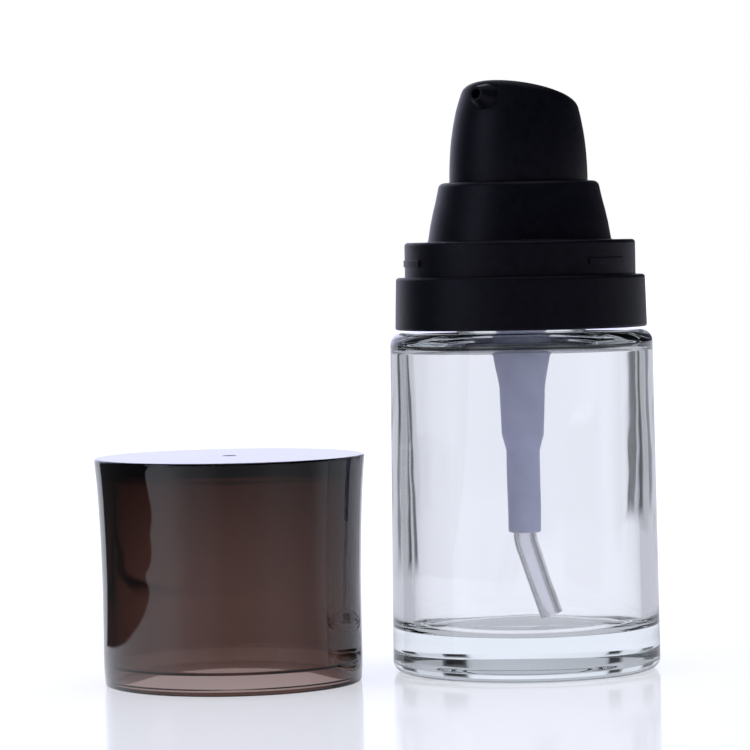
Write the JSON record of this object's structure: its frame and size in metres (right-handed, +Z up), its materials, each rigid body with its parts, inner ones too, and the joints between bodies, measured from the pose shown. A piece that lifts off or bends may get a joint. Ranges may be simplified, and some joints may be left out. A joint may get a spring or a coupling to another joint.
{
  "type": "foundation pump bottle",
  "caption": "Clear glass cosmetic bottle with a black treatment pump, turning actuator, curved dip tube and a smoke tinted overcap standing beside it.",
  "frame": {"origin": "centre of the ring the bottle stands on, on the pump's axis", "axes": "+Z up the bottle's axis, the overcap stands on the -X side, -Y is the front and the spout points forward and toward -X"},
  "size_m": [0.0789, 0.0467, 0.0831],
  "materials": {
    "clear_glass": "polished clear flint glass",
    "black_matte_pp": "fine matte moulded black",
    "natural_pp": "natural translucent polypropylene",
    "natural_pe": "natural translucent polyethylene",
    "white_foam": "closed cell foam sheet",
    "spring_wire": "drawn stainless wire",
    "steel_ball": "polished stainless",
    "smoke_clear": "polished smoke tinted clear plastic"
  },
  "bodies": {
    "bottle": {"glass_bottle": "clear_glass"},
    "pump": {"pump_housing": "natural_pp", "housing_cap": "natural_pp", "gasket": "white_foam", "dip_tube": "natural_pe", "return_spring": "spring_wire"},
    "closure": {"screw_closure": "natural_pp", "outer_collar": "black_matte_pp"},
    "plunger": {"stem": "natural_pp", "piston_rod": "natural_pp"},
    "piston": {"piston": "natural_pe"},
    "actuator": {"actuator": "black_matte_pp"},
    "inlet_valve": {"inlet_ball": "steel_ball"},
    "overcap": {"overcap": "smoke_clear"}
  },
  "joints": [
    {"name": "pump_rise", "type": "slide", "parent": "bottle", "child": "pump", "axis": [0, 0, 1], "range_m": [0, 0.00397]},
    {"name": "closure_unscrew", "type": "hinge", "parent": "pump", "child": "closure", "pos_m": [0, 0, 0.054], "axis": [0, 0, 1], "range_deg": [0, 450]},
    {"name": "press", "type": "slide", "parent": "pump", "child": "plunger", "axis": [0, 0, -1], "range_m": [0, 0.0045], "stiffness_N_per_m": 900, "springref_m": -0.004, "deforming": ["return_spring"]},
    {"name": "actuator_turn", "type": "hinge", "parent": "plunger", "child": "actuator", "pos_m": [0, 0, 0.07], "axis": [0, 0, 1], "continuous": true},
    {"name": "piston_play", "type": "slide", "parent": "plunger", "child": "piston", "axis": [0, 0, 1], "range_m": [0, 0.0006]},
    {"name": "ball_lift", "type": "slide", "parent": "pump", "child": "inlet_valve", "axis": [0, 0, 1], "range_m": [0, 0.001]},
    {"name": "cap_lift", "type": "slide", "parent": "bottle", "child": "overcap", "axis": [0, 0, 1], "range_m": [0, 0.09]}
  ],
  "couplings": [
    {"joint": "pump_rise", "follows": "closure_unscrew", "m_per_rad": 0.00050532}
  ]
}
